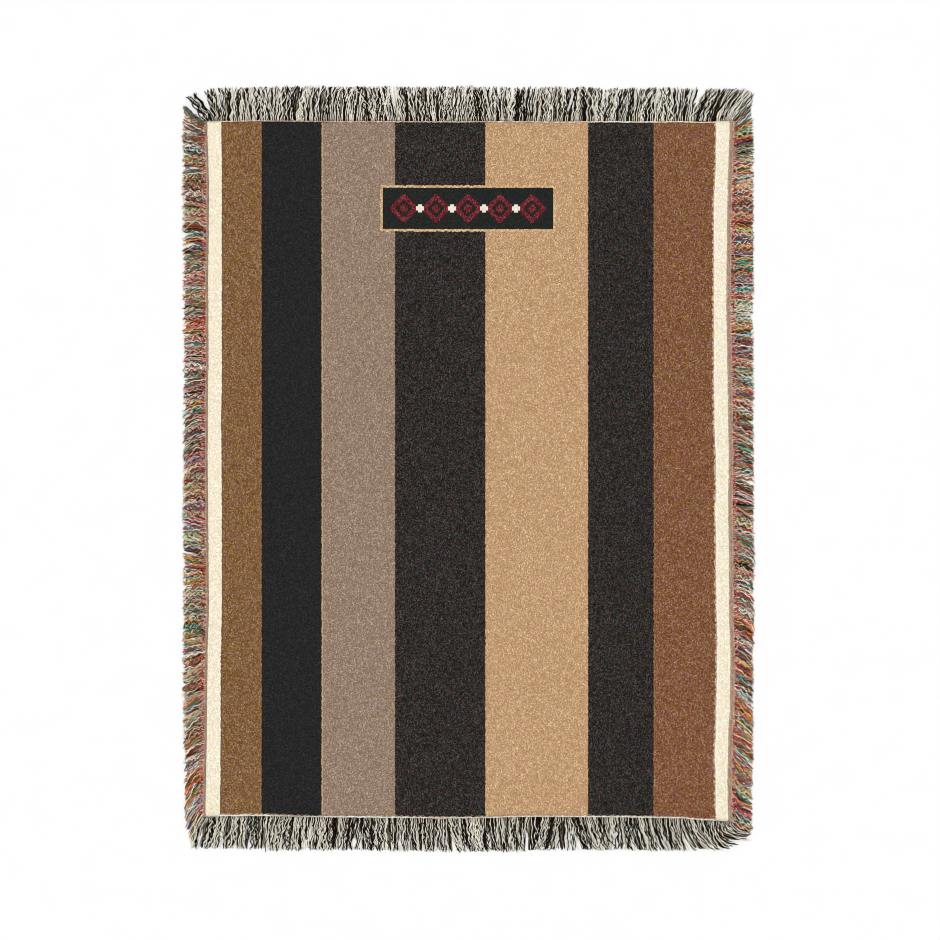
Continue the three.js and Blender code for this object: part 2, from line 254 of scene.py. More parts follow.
class Graph:
    def __init__(self, name):
        self.mat = bpy.data.materials.new(name)
        self.mat.use_nodes = True
        self.nt = self.mat.node_tree
        self.nt.nodes.clear()

    def node(self, kind, **props):
        n = self.nt.nodes.new(kind)
        for k, v in props.items():
            setattr(n, k, v)
        return n

    def put(self, value, socket):
        if isinstance(value, bpy.types.NodeSocket):
            self.nt.links.new(value, socket)
        elif value is not None:
            socket.default_value = value

    def math(self, op, a, b=None, c=None, clamp=False):
        n = self.node("ShaderNodeMath", operation=op, use_clamp=clamp)
        for v, s in zip((a, b, c), n.inputs):
            self.put(v, s)
        return n.outputs[0]

    def mix(self, fac, a, b):
        n = self.node("ShaderNodeMix", data_type="RGBA", clamp_factor=True)
        self.put(fac, n.inputs[0])
        self.put(a, n.inputs[6])
        self.put(b, n.inputs[7])
        return n.outputs[2]

    def blend(self, kind, fac, a, b):
        n = self.node("ShaderNodeMix", data_type="RGBA", blend_type=kind, clamp_factor=True)
        self.put(fac, n.inputs[0])
        self.put(a, n.inputs[6])
        self.put(b, n.inputs[7])
        return n.outputs[2]

    def ramp(self, fac, stops, interpolation="LINEAR"):
        n = self.node("ShaderNodeValToRGB")
        r = n.color_ramp
        r.interpolation = interpolation
        while len(r.elements) < len(stops):
            r.elements.new(0.5)
        for e, (p, c) in zip(r.elements, stops):
            e.position = p
            e.color = c
        self.put(fac, n.inputs[0])
        return n.outputs[0]

    def combine(self, x, y, z=0.0):
        n = self.node("ShaderNodeCombineXYZ")
        for v, s in zip((x, y, z), n.inputs):
            self.put(v, s)
        return n.outputs[0]

    def noise(self, vector, scale, detail=0.0, rough=0.5):
        n = self.node("ShaderNodeTexNoise", noise_dimensions="3D")
        self.put(vector, n.inputs["Vector"])
        n.inputs["Scale"].default_value = scale
        n.inputs["Detail"].default_value = detail
        n.inputs["Roughness"].default_value = rough
        return n

    def white(self, vector):
        n = self.node("ShaderNodeTexWhiteNoise", noise_dimensions="3D")
        self.put(vector, n.inputs["Vector"])
        return n

    def attribute(self, name, output="Fac"):
        n = self.node("ShaderNodeAttribute", attribute_name=name)
        return n.outputs[output]

    def between(self, value, low, high):
        """1 where low < value < high."""
        return self.math("MULTIPLY", self.math("GREATER_THAN", value, low), self.math("LESS_THAN", value, high))

    def surface(self, colour, height=None, distance=0.0003, strength=0.6, roughness=0.92, specular=0.06, sheen=0.0):
        p = self.node("ShaderNodeBsdfPrincipled")
        self.put(colour, p.inputs["Base Color"])
        p.inputs["Roughness"].default_value = roughness
        p.inputs["Specular IOR Level"].default_value = specular
        if sheen:
            p.inputs["Sheen Weight"].default_value = sheen
            p.inputs["Sheen Roughness"].default_value = 0.6
        if height is not None:
            b = self.node("ShaderNodeBump")
            b.inputs["Strength"].default_value = strength
            b.inputs["Distance"].default_value = distance
            self.put(height, b.inputs["Height"])
            self.nt.links.new(b.outputs[0], p.inputs["Normal"])
        out = self.node("ShaderNodeOutputMaterial")
        self.nt.links.new(p.outputs[0], out.inputs[0])
        return self.mat


# ---------------------------------------------------------------- the cloth

STRIPES = [  # right edge of each stripe, its mean colour, how far its floats stray from it, which way, and how its hue drifts
    {"name": "cream_left", "to": -591.7, "mean": (254.5, 239.5, 213), "spread": 18, "way": (1.05, 1.0, 0.95), "tint": (0.05, 0.05, 0.06)},
    {"name": "brown_left", "to": -496.0, "mean": (131, 96, 62.5), "spread": 24.5, "way": (0.92, 1.0, 1.02), "tint": (0.12, 0.12, 0.62)},
    {"name": "charcoal_plain", "to": -352.0, "mean": (39.6, 39.7, 39.7), "spread": 8.0, "way": (1.0, 1.0, 1.0), "tint": (0.01, 0.01, 0.03)},
    {"name": "taupe", "to": -175.8, "mean": (151.5, 128.9, 110.9), "spread": 21, "way": (1.0, 1.0, 1.0), "tint": (0.08, 0.08, 0.2)},
    {"name": "black_left", "to": 41.0, "mean": (49, 44, 41.4), "spread": 19, "way": (1.03, 1.0, 1.0), "tint": (0.54, 0.2, 0.34)},
    {"name": "tan", "to": 287.4, "mean": (195.5, 157.2, 117.8), "spread": 23.3, "way": (0.89, 1.0, 1.05), "tint": (0.04, 0.05, 0.13)},
    {"name": "black_right", "to": 444.8, "mean": (48.8, 43.8, 41.3), "spread": 18.6, "way": (1.03, 1.0, 1.0), "tint": (0.54, 0.2, 0.34)},
    {"name": "brown_right", "to": 594.0, "mean": (130.5, 89, 61.5), "spread": 24.5, "way": (0.92, 1.0, 1.02), "tint": (0.12, 0.2, 0.62)},
    {"name": "cream_right", "to": 9999, "mean": (255, 240.5, 214), "spread": 18, "way": (1.05, 1.0, 0.95), "tint": (0.05, 0.05, 0.06)},
]
FLOAT_ACROSS, FLOAT_ALONG = 1.6, 2.9  # size of one yarn float
SPREAD_SHAPE = [(0.0, -1.35), (0.2, -0.85), (0.5, -0.15), (0.78, 0.6), (0.93, 1.5), (1.0, 2.6)]  # many near the mean, a few light flecks
PANEL = {"left": -205.2, "right": 204.0, "low": 575.4, "high": 675.0, "rim": 5.6}


def build_cloth():
    nu, nv = 124, 164
    u, v = np.meshgrid(np.linspace(0, 1, nu + 1), np.linspace(0, 1, nv + 1), indexing="ij")

    def ease(t):  # rows stay evenly spaced
        return t

    u, v = ease(u), ease(v)
    bx = BL[0] + (BR[0] - BL[0]) * u
    tx = TL[0] + (TR[0] - TL[0]) * u
    ly = BL[1] + (TL[1] - BL[1]) * v
    ry = BR[1] + (TR[1] - BR[1]) * v
    X = (1 - v) * bx + v * tx + (1 - u) * edge_left(ly) + u * edge_right(ry)
    Y = (1 - v) * edge_bottom(bx) + v * edge_top(tx) + (1 - u) * ly + u * ry
    X -= (1 - u) * (1 - v) * BL[0] + u * (1 - v) * BR[0] + (1 - u) * v * TL[0] + u * v * TR[0]
    Y -= (1 - u) * (1 - v) * BL[1] + u * (1 - v) * BR[1] + (1 - u) * v * TL[1] + u * v * TR[1]
    rng = np.random.default_rng(5)
    lift = np.zeros_like(X)
    for _ in range(14):
        a = rng.uniform(0, np.pi)
        wave = rng.uniform(160, 620)
        lift += rng.uniform(0.3, 1.0) * np.sin((np.cos(a) * X + np.sin(a) * Y) * 2 * np.pi / wave + rng.uniform(0, 6.28))
    lift = np.clip(1.1 + 0.6 * lift, 0, None)
    rim = np.minimum.reduce([u * nu, (1 - u) * nu, v * nv, (1 - v) * nv])
    settle = np.clip(rim / 8.0, 0, 1)
    lift *= settle * settle * (3 - 2 * settle)
    thick = CLOTH_THICK * np.where(rim < 0.5, 0.72, 1.0)
    grid = np.arange((nu + 1) * (nv + 1)).reshape(nu + 1, nv + 1)
    n = grid.size
    top = np.stack([X, Y, lift + thick], -1).reshape(-1, 3)
    low = np.stack([X, Y, lift], -1).reshape(-1, 3)
    a, b, c, d = grid[:-1, :-1].ravel(), grid[1:, :-1].ravel(), grid[1:, 1:].ravel(), grid[:-1, 1:].ravel()
    quads_top = np.stack([a, b, c, d], 1)
    quads_low = np.stack([a, d, c, b], 1) + n
    loop = np.concatenate([grid[:-1, 0], grid[-1, :-1], grid[:0:-1, -1], grid[0, :0:-1]])
    nxt = np.roll(loop, -1)
    quads_rim = np.stack([loop + n, nxt + n, nxt, loop], 1)
    o = new_object("throw_cloth", np.concatenate([top, low]), np.concatenate([quads_top, quads_low, quads_rim]), np.zeros((0, 3), int))
    # the bake's map: the face gets nearly all of it
    place = np.concatenate([np.stack([0.004 + 0.992 * u.ravel(), 0.004 + 0.93 * v.ravel()], 1), np.stack([0.004 + 0.992 * u.ravel(), 0.95 + 0.046 * v.ravel()], 1)])
    nr = len(loop)
    s = np.linspace(0.004, 0.996, nr + 1)
    rim_uv = np.stack([np.stack([s[:-1], np.full(nr, 0.938)], 1), np.stack([s[1:], np.full(nr, 0.938)], 1), np.stack([s[1:], np.full(nr, 0.944)], 1), np.stack([s[:-1], np.full(nr, 0.944)], 1)], 1)
    add_uv(o, "OFBake", np.concatenate([place[quads_top].reshape(-1, 2), place[quads_low].reshape(-1, 2), rim_uv.reshape(-1, 2)]))
    # where a point lies across the stripes, with the wander of the cream bands taken out
    bend_l = cream_left(Y) - (-591.7)
    bend_r = cream_right(Y) - 594.0
    wl = np.clip((-496.0 - X) / (-496.0 + 591.7), 0, 1)
    wr = np.clip((X - 444.8) / (594.0 - 444.8), 0, 1)
    lane = X - bend_l * wl - bend_r * wr
    both = lambda f: np.concatenate([f.ravel(), f.ravel()])
    add_float(o, "lane", both(lane))
    add_float(o, "from_left", both(X - edge_left(Y)))
    add_float(o, "from_right", both(edge_right(Y) - X))
    return o


def cloth_material():
    g = Graph("woven_cotton")
    coord = g.node("ShaderNodeTexCoord").outputs["Object"]
    mm = g.node("ShaderNodeVectorMath", operation="MULTIPLY_ADD")
    g.put(coord, mm.inputs[0])
    mm.inputs[1].default_value = (1000.0, 1000.0, 0.0)
    mm.inputs[2].default_value = (-SHIFT[0], -SHIFT[1], 0.0)
    place = mm.outputs[0]
    # yarns wander a little, so the grid of floats is never quite even
    wander = g.noise(place, 0.11, 1.0)
    off = g.node("ShaderNodeVectorMath", operation="MULTIPLY_ADD")
    g.put(wander.outputs["Color"], off.inputs[0])
    off.inputs[1].default_value = (2.2, 2.2, 0.0)
    g.put(place, off.inputs[2])
    sep = g.node("ShaderNodeSeparateXYZ")
    g.put(off.outputs[0], sep.inputs[0])
    x, y = sep.outputs[0], sep.outputs[1]
    def floats(across, along, seed, upright):
        """Yarn floats on a brick grid whose courses are shifted at random: a random number and a rounded profile for each."""
        a, b = (x, y) if upright else (y, x)
        fa = g.math("DIVIDE", a, across)
        ca = g.math("FLOOR", fa)
        shift = g.white(g.combine(ca, seed, 0.5)).outputs["Value"]
        fb = g.math("ADD", g.math("DIVIDE", b, along), shift)
        cb = g.math("FLOOR", fb)
        cell = g.white(g.combine(ca, cb, seed))
        ua = g.math("MULTIPLY", g.math("ABSOLUTE", g.math("SUBTRACT", g.math("SUBTRACT", fa, ca), 0.5)), 2.0)
        ub = g.math("MULTIPLY", g.math("ABSOLUTE", g.math("SUBTRACT", g.math("SUBTRACT", fb, cb), 0.5)), 2.0)
        hump = g.math("MULTIPLY", g.math("SUBTRACT", 1.0, g.math("POWER", ua, 2.0)), g.math("SUBTRACT", 1.0, g.math("POWER", ub, 4.0)))
        rest = g.node("ShaderNodeSeparateColor")
        g.put(cell.outputs["Color"], rest.inputs[0])
        return cell.outputs["Value"], rest.outputs[1], rest.outputs[2], hump

    warp, warp_pick, warp_high, warp_hump = floats(FLOAT_ACROSS, FLOAT_ALONG, 3.0, True)
    weft, _, weft_high, weft_hump = floats(FLOAT_ACROSS, FLOAT_ALONG, 8.0, False)
    over = g.math("GREATER_THAN", warp_pick, 0.5)  # here the warp lies on top, elsewhere the weft

    def either(a, b):
        n = g.node("ShaderNodeMix", data_type="FLOAT")
        g.put(over, n.inputs[0])
        g.put(a, n.inputs[2])
        g.put(b, n.inputs[3])
        return n.outputs[0]

    pick = either(weft, warp)
    hump = either(weft_hump, warp_hump)
    height = g.math("ADD", hump, g.math("MULTIPLY", either(weft_high, warp_high), 0.7))
    row = g.math("FLOOR", g.math("DIVIDE", y, 2.6))
    # soft drift of hue over several floats
    drift = g.node("ShaderNodeVectorMath", operation="MULTIPLY_ADD")
    g.put(g.noise(place, 0.095, 0.0).outputs["Color"], drift.inputs[0])
    drift.inputs[1].default_value = (2.0, 2.0, 2.0)
    drift.inputs[2].default_value = (-1.0, -1.0, -1.0)

    lane = g.attribute("lane")
    tooth = g.math("SUBTRACT", g.white(g.combine(row, 7.0, 1.0)).outputs["Value"], 0.5)
    tooth_fine = g.math("SUBTRACT", g.white(g.combine(g.math("FLOOR", g.math("DIVIDE", y, 4.7)), 9.0, 2.0)).outputs["Value"], 0.5)
    jag = g.math("ADD", g.math("MULTIPLY", tooth, 1.5), g.math("MULTIPLY", tooth_fine, 0.9))
    jag_wide = g.math("MULTIPLY", jag, 1.0)

    def dyed(mean, spread, way):
        stops = []
        for p, k in SPREAD_SHAPE:
            stops.append((p, paint(np.clip(np.array(mean) + k * spread * np.array(way), 4, 262))))
        return g.ramp(pick, stops)

    colour, tint = None, None
    last = None
    for s in STRIPES:
        c = dyed(s["mean"], s["spread"], s["way"])
        t = tuple(0.5 + 0.5 * x for x in s["tint"]) + (1.0,)
        if colour is None:
            colour, tint = c, t
        else:
            wide = "cream" in s["name"] or "cream" in last["name"]
            past = g.math("GREATER_THAN", g.math("ADD", lane, jag_wide if wide else jag), last["to"])
            colour = g.mix(past, colour, c)
            tint = g.mix(past, tint, t)
        last = s
    # single yarns of another colour along some stripe edges
    ochre = dyed((154, 110, 70), 20, (1, 1, 1))
    sand = dyed((186, 158, 116), 16, (1, 1, 1))
    lane_j = g.math("ADD", lane, jag)
    colour = g.mix(g.math("MULTIPLY", g.between(lane_j, -499.0, -496.0), 0.6), colour, ochre)
    colour = g.mix(g.math("MULTIPLY", g.between(lane_j, 444.8, 447.6), 0.6), colour, ochre)
    colour = g.mix(g.between(lane_j, -352.0, -348.2), colour, sand)

    # painted highlight: the cream bands' outermost yarns are painted paler, and painted shade: the stripe beside the
    # left one is painted darker
    lane_w = g.math("ADD", lane, jag_wide)
    pale = dyed((252, 246, 228), 8, (0.6, 1.0, 1.1))
    colour = g.mix(g.math("MULTIPLY", g.between(lane_w, -594.6, -591.7), 0.6), colour, pale)
    colour = g.mix(g.math("MULTIPLY", g.between(lane_w, 594.0, 597.2), 0.8), colour, pale)
    colour = g.mix(g.math("MULTIPLY", g.between(lane_w, -591.7, -589.0), 0.5), colour, dyed((96, 66, 38), 18, (1, 1, 1)))
    # blunt teeth of a mixed tone along the right one, where its yarns turn back round their neighbour
    sway = g.noise(place, 0.035, 1.0).outputs["Fac"]
    tooth_turn = g.math("ADD", g.math("DIVIDE", y, 19.0), g.math("MULTIPLY", sway, 2.2))
    tooth_wide = g.math("MULTIPLY_ADD", g.math("SINE", g.math("MULTIPLY", tooth_turn, 2 * math.pi)), 1.8, 3.6)
    teeth = g.math("MULTIPLY", g.math("GREATER_THAN", g.math("ADD", lane_w, tooth_wide), 594.0), g.math("LESS_THAN", lane_w, 594.0))
    colour = g.mix(g.math("MULTIPLY", teeth, 0.85), colour, dyed((206, 182, 158), 20, (1, 1, 1)))

    # the small panel: charcoal ground, a rim of the tan yarn, a row of stepped lozenges
    px, py = g.node("ShaderNodeSeparateXYZ"), None
    g.put(place, px.inputs[0])
    x0, y0 = px.outputs[0], px.outputs[1]
    xt = g.math("ADD", x0, g.math("MULTIPLY", tooth_fine, 1.6))
    tooth_x = g.math("SUBTRACT", g.white(g.combine(g.math("FLOOR", g.math("DIVIDE", x, 4.2)), 5.0, 4.0)).outputs["Value"], 0.5)
    yt = g.math("ADD", y0, g.math("MULTIPLY", tooth_x, 3.0))
    rim_in = g.math("MULTIPLY", g.between(xt, PANEL["left"] - PANEL["rim"], PANEL["right"] + PANEL["rim"]), g.between(yt, PANEL["low"] - PANEL["rim"], PANEL["high"] + PANEL["rim"]))
    ground_in = g.math("MULTIPLY", g.between(x0, PANEL["left"], PANEL["right"]), g.between(g.math("ADD", y0, g.math("MULTIPLY", tooth_x, 1.6)), PANEL["low"], PANEL["high"]))
    colour = g.mix(rim_in, colour, dyed((210, 176, 130), 24, (1, 1, 1.05)))
    ground = dyed((38, 39.5, 39.5), 6, (1, 1, 1))
    middle_x, middle_y = (PANEL["left"] + PANEL["right"]) / 2, (PANEL["low"] + PANEL["high"]) / 2
    step = 4.8
    qx = g.math("MULTIPLY", g.math("FLOOR", g.math("DIVIDE", g.math("SUBTRACT", x0, middle_x), step)), step)
    qy = g.math("MULTIPLY", g.math("FLOOR", g.math("DIVIDE", g.math("SUBTRACT", y0, middle_y), step)), step)
    qx = g.math("ADD", qx, step / 2)
    qy = g.math("ADD", qy, step / 2)
    pitch = 76.8
    # distance from the nearest lozenge's middle, and from the nearest gap's middle
    lx = g.math("ABSOLUTE", g.math("SUBTRACT", g.math("MODULO", g.math("ADD", qx, pitch * 20.5), pitch), pitch / 2))
    gx = g.math("ABSOLUTE", g.math("SUBTRACT", g.math("MODULO", g.math("ADD", qx, pitch * 20.0), pitch), pitch / 2))
    ay = g.math("ABSOLUTE", qy)
    loz = g.math("ADD", g.math("DIVIDE", lx, 34.0), g.math("DIVIDE", ay, 34.0))
    gap = g.math("ADD", g.math("DIVIDE", gx, 13.0), g.math("DIVIDE", ay, 13.0))
    inside_row = g.math("LESS_THAN", g.math("ABSOLUTE", qx), 2.5 * pitch)
    red = dyed((112, 40, 46), 20, (1.0, 1.0, 1.0))
    cream = dyed((243, 235, 216), 12, (1, 1, 1))
    red_in = g.math("MULTIPLY", g.math("SUBTRACT", g.math("LESS_THAN", loz, 1.0), g.between(loz, 0.34, 0.58)), inside_row)
    cream_in = g.math("MULTIPLY", g.math("LESS_THAN", gap, 1.0), g.math("LESS_THAN", g.math("ABSOLUTE", qx), 2.2 * pitch))
    inside = g.mix(red_in, ground, red)
    inside = g.mix(cream_in, inside, cream)
    colour = g.mix(ground_in, colour, inside)
    tint = g.mix(rim_in, tint, (0.5, 0.5, 0.5, 1.0))

    # locked side edges: narrow columns of mixed yarn
    fl, fr = g.attribute("from_left"), g.attribute("from_right")
    wob = g.math("MULTIPLY", tooth_fine, 1.0)
    flw, frw = g.math("ADD", fl, wob), g.math("ADD", fr, wob)
    rosy = dyed((236, 181, 161), 30, (1.0, 1.05, 1.0))
    taupe_left = dyed((182, 170, 140), 28, (1, 1, 1))
    beige_left = dyed((164, 143, 125), 26, (1, 1, 1))
    taupe = dyed((196, 165, 141), 28, (1, 1, 1))
    beige = dyed((188, 160, 140), 26, (1, 1, 1))
    colour = g.mix(g.math("LESS_THAN", flw, 7.5), colour, beige_left)
    colour = g.mix(g.math("LESS_THAN", flw, 5.8), colour, taupe_left)
    colour = g.mix(g.math("LESS_THAN", flw, 2.4), colour, rosy)
    colour = g.mix(g.math("LESS_THAN", frw, 12.4), colour, beige)
    colour = g.mix(g.math("LESS_THAN", frw, 7.6), colour, taupe)
    colour = g.mix(g.math("LESS_THAN", frw, 4.4), colour, rosy)

    # hue drift: colour times (1 + drift * tint)
    tv = g.node("ShaderNodeVectorMath", operation="MULTIPLY_ADD")
    g.put(tint, tv.inputs[0])
    tv.inputs[1].default_value = (2.0, 2.0, 2.0)
    tv.inputs[2].default_value = (-1.0, -1.0, -1.0)
    tm = g.node("ShaderNodeVectorMath", operation="MULTIPLY")
    g.put(tv.outputs[0], tm.inputs[0])
    g.put(drift.outputs[0], tm.inputs[1])
    one = g.node("ShaderNodeVectorMath", operation="ADD")
    g.put(tm.outputs[0], one.inputs[0])
    one.inputs[1].default_value = (1.0, 1.0, 1.0)
    final = g.node("ShaderNodeVectorMath", operation="MULTIPLY")
    g.put(colour, final.inputs[0])
    g.put(one.outputs[0], final.inputs[1])
    # painted shade: the hollow between floats is painted a little darker
    shade = g.node("ShaderNodeVectorMath", operation="SCALE")
    g.put(final.outputs[0], shade.inputs[0])
    g.put(g.math("MULTIPLY_ADD", hump, 0.16, 0.91), shade.inputs["Scale"])
    return g.surface(shade.outputs[0], height=height, distance=0.00035, strength=0.5, roughness=0.95, specular=0.04)


# ---------------------------------------------------------------- yarn

YARN = {
    "charcoal": (27, 20, 15),
    "cream": (255, 247, 230),
}
SIDE_YARN = [  # colour of a yarn, its share, 1 if it is one of the pale ones, and 1 if it is one of the warm ones
    ("pink_white", (250, 222, 218), 0.10, 1, 0),
    ("cream", (250, 236, 204), 0.08, 1, 0),
    ("peach", (242, 186, 150), 0.09, 1, 1),
    ("salmon", (226, 142, 124), 0.09, 1, 1),
    ("pale_sage", (178, 194, 148), 0.08, 1, 0),
    ("sea", (122, 184, 164), 0.07, 1, 0),
    ("sky", (154, 176, 190), 0.05, 1, 0),
    ("ochre", (220, 166, 84), 0.07, 1, 0),
    ("crimson", (182, 40, 52), 0.075, 0, 1),
    ("maroon", (104, 30, 38), 0.07, 0, 1),
    ("orange", (214, 110, 56), 0.055, 0, 1),
    ("brown", (138, 76, 36), 0.06, 0, 1),
    ("olive", (104, 100, 44), 0.06, 0, 0),
    ("green", (72, 138, 88), 0.07, 0, 0),
    ("teal", (54, 134, 122), 0.07, 0, 0),
    ("slate", (80, 102, 138), 0.05, 0, 0),
    ("mauve", (146, 90, 112), 0.06, 0, 0),
    ("dusty_rose", (182, 106, 108), 0.07, 0, 1),
    ("charcoal", (30, 22, 20), 0.13, 0, 0),
]
# painted shade: muted dark tones for the side fringes' underneath yarns, standing for the shade in the gaps between the
# top yarns
UNDER_YARN = [(128, 104, 90), (98, 80, 70), (140, 110, 98), (110, 110, 98), (130, 88, 80), (58, 46, 40)]
LOOP_YARN = [(192, 42, 54), (216, 88, 92), (246, 170, 160), (234, 138, 128), (148, 34, 42), (246, 194, 184), (116, 44, 44), (254, 212, 206), (204, 126, 116), (158, 82, 76)]


def yarn_material(name, roughness=0.93):
    g = Graph(name)
    dye = g.attribute("dye", "Color")
    uv = g.node("ShaderNodeUVMap", uv_map="yarn")
    sep = g.node("ShaderNodeSeparateXYZ")
    g.put(uv.outputs[0], sep.inputs[0])
    # two plies twisted together: a groove winds round the yarn
    turn = g.math("ADD", g.math("MULTIPLY", sep.outputs[0], 2.0), g.math("MULTIPLY", sep.outputs[1], 0.22))
    ply = g.math("ABSOLUTE", g.math("SUBTRACT", g.math("FRACT", turn), 0.5))
    groove = g.math("POWER", g.math("MULTIPLY", ply, 2.0), 3.0)
    coord = g.node("ShaderNodeTexCoord").outputs["Object"]
    fibre = g.noise(coord, 900.0, 2.0, 0.6).outputs["Fac"]
    patch = g.noise(coord, 120.0, 1.0, 0.5).outputs["Fac"]
    bright = g.math("ADD", g.math("MULTIPLY_ADD", fibre, 0.5, 0.62), g.math("MULTIPLY_ADD", patch, 0.5, -0.12))
    # painted shade: the groove between the plies is painted darker, on top of the bump that cuts it in
    bright = g.math("MULTIPLY", bright, g.math("MULTIPLY_ADD", groove, -0.3, 1.05))
    sc = g.node("ShaderNodeVectorMath", operation="SCALE")
    g.put(dye, sc.inputs[0])
    g.put(bright, sc.inputs["Scale"])
    height = g.math("SUBTRACT", g.math("MULTIPLY", fibre, 0.35), groove)
    return g.surface(sc.outputs[0], height=height, distance=0.0004, strength=0.7, roughness=roughness, specular=0.05)


def fringe(rng, table, s0, s1, rim, root_in, count, points, yarn_mm, tuft_mm, sway, long_wave, short_wave, layers, extra, short_end, place, ragged=1.0):
    """Yarn ends along one edge: roots side by side, falling together into tufts that lean as the table says and wave together.
    sway: how far tufts and single yarns stray sideways and how far tufts bow. Each wave: amplitude and range of lengths.
    extra is how far the tips stand past the table, root_in how far inside the edge a yarn starts, short_end marks yarns that stop part of the way, ragged is how unevenly the tips end.
    Returns the paths (n, m, 3) and the radii (n, m)."""
    tip, lean, open_, bend_ = (curve(table["at"], table[c]) for c in ("tip", "lean", "open", "bend"))
    root = s0 + (s1 - s0) * (np.arange(count) + 0.5 + rng.uniform(-0.35, 0.35, count)) / count
    cuts = [s0]
    while cuts[-1] < s1:
        cuts.append(cuts[-1] + rng.uniform(*tuft_mm))
    cuts = np.array(cuts)
    tuft = np.clip(np.searchsorted(cuts, root) - 1, 0, len(cuts) - 2)
    centre = (cuts[:-1] + cuts[1:]) / 2
    k = len(centre)
    t_lean = rng.normal(0, sway[0], k)
    t_bow = rng.normal(0, sway[1], k)
    t_draw = np.clip(rng.normal(0.42, 0.2, k), 0.0, 0.8) * open_(centre)
    t_reach = rng.normal(0, 1.2, k)
    t_long, t_phase = rng.uniform(*long_wave[1], k), rng.uniform(0, 6.28, k)
    t_swing = rng.uniform(0.25, 1.0, k)
    stray = rng.random(count) < 0.12
    y_lean = rng.normal(0, sway[2], count) + stray * rng.normal(0, 1.6 * sway[2], count)
    y_reach = rng.normal(0, 1.2, count) - np.abs(rng.normal(0, 1.6 * ragged, count)) * (rng.random(count) < 0.5)
    lift = rng.uniform(0, layers, count) + stray * rng.uniform(0.5, 1.5, count)
    t = np.linspace(0, 1, points)[None, :]
    calm = 0.35 + 0.65 * np.clip(np.minimum(root - s0, s1 - root) / 60, 0, 1)  # yarns keep together at the corners
    total = (lean(root) * (1 + 0.14 * rng.normal(0, 1, k)[tuft] * calm) + (t_lean[tuft] + y_lean) * calm)[:, None]
    pull = ((centre[tuft] - root) * t_draw[tuft])[:, None]
    gather = np.clip((t - 0.22) / 0.6, 0, 1)
    gather = gather * gather * (3 - 2 * gather)
    arched = curve(table["at"], table["bow"])(root) * (0.5 + 0.8 * t_swing[tuft]) if "bow" in table else 0.0
    bow = (t_bow[tuft] + arched)[:, None] * np.sin(np.pi * t)
    ease = np.clip(t / 0.16, 0, 1)
    reach = (tip(root) + extra + t_reach[tuft] + y_reach)[:, None]
    start = (rim(root) - root_in)[:, None]
    reach = start + (reach - start) * np.where(short_end, rng.uniform(0.4, 0.8, count), 1.0)[:, None]
    bend = bend_(root)
    bend = (bend + np.abs(bend) * (rng.normal(0, 0.22, k)[tuft] + rng.normal(0, 0.15, count)))[:, None]
    first, last = np.clip(bend, 0, 1), np.clip(-bend, 0, 1)
    out = np.where(bend >= 0, 1 - (1 - t) ** (1 + 1.2 * first), t ** (1 + 0.5 * last))
    side = np.where(bend >= 0, t ** (1.35 + 0.6 * first), (1 - last) * t**1.35 + last * (1 - (1 - t) ** 2))
    run = out * (reach - start)
    length = (t_long[tuft] * rng.uniform(0.8, 1.25, count))[:, None]
    phase = (t_phase[tuft] + rng.normal(0, 0.9, count))[:, None]
    swing = (t_swing[tuft] * rng.uniform(0.5, 1.5, count))[:, None]
    short = rng.uniform(*short_wave[1], count)[:, None]
    turn = rng.uniform(0, 6.28, count)[:, None]
    wave = (long_wave[0] * swing * np.sin(run * 2 * np.pi / length + phase) + short_wave[0] * rng.uniform(0.2, 1.0, count)[:, None] * np.sin(run * 2 * np.pi / short + turn)) * ease
    s = root[:, None] + total * side + pull * gather + bow + wave
    o = start + run + 0.5 * long_wave[0] * swing * np.cos(run * 2 * np.pi / length + turn) * ease * (1 - t)
    radius = yarn_mm / 2 * rng.uniform(0.85, 1.12, count)[:, None] * (1 - 0.45 * np.clip((t - 0.86) / 0.14, 0, 1) ** 1.5)
    radius = radius * (1 + 0.10 * np.sin(run * 2 * np.pi / 6.0 + turn))
    arch = np.sin(np.pi * np.clip(t * 0.9 + 0.1, 0, 1)) ** 0.6
    z = radius + lift[:, None] * arch * (0.75 + 0.25 * np.sin(run * 2 * np.pi / short + phase))
    return place(s, o, z), np.broadcast_to(radius, (count, points)).copy()


def along_yarn(rng, colour, points, root_shade=1.0, beads=0.0, root_to_tip=(1.0, 1.0)):
    """A yarn's colour along its length: a little uneven, lighter and darker with its twist, with painted shade near
    where it leaves the cloth where root_shade is below 1 and painted light there where it is above 1, and scaled from
    root_to_tip[0] along the inner half to root_to_tip[1] at the tip.
    """
    n = len(colour)
    knots = rng.uniform(0.9, 1.08, (n, 5))
    t = np.linspace(0, 4, points)
    i = np.minimum(t.astype(int), 3)
    uneven = knots[:, i] * (1 - (t - i)) + knots[:, i + 1] * (t - i)
    uneven = uneven * (1 + beads * np.sin(rng.uniform(5.5, 9.0, (n, 1)) * t[None] / 4 * 2 * np.pi + rng.uniform(0, 6.28, (n, 1))))
    # painted shade at the root, painted light instead where root_shade is above 1, fading out over the first 14 % of
    # the yarn
    painted_root_light_and_fade = root_shade + (1 - root_shade) * np.clip(np.linspace(0, 1, points) / 0.14, 0, 1)
    painted_root_light_and_fade = painted_root_light_and_fade * np.interp(np.linspace(0, 1, points), [0, 0.55, 0.95], [root_to_tip[0], root_to_tip[0], root_to_tip[1]])
    return np.minimum(colour[:, None, :] * (uneven * painted_root_light_and_fade)[:, :, None], 0.95)


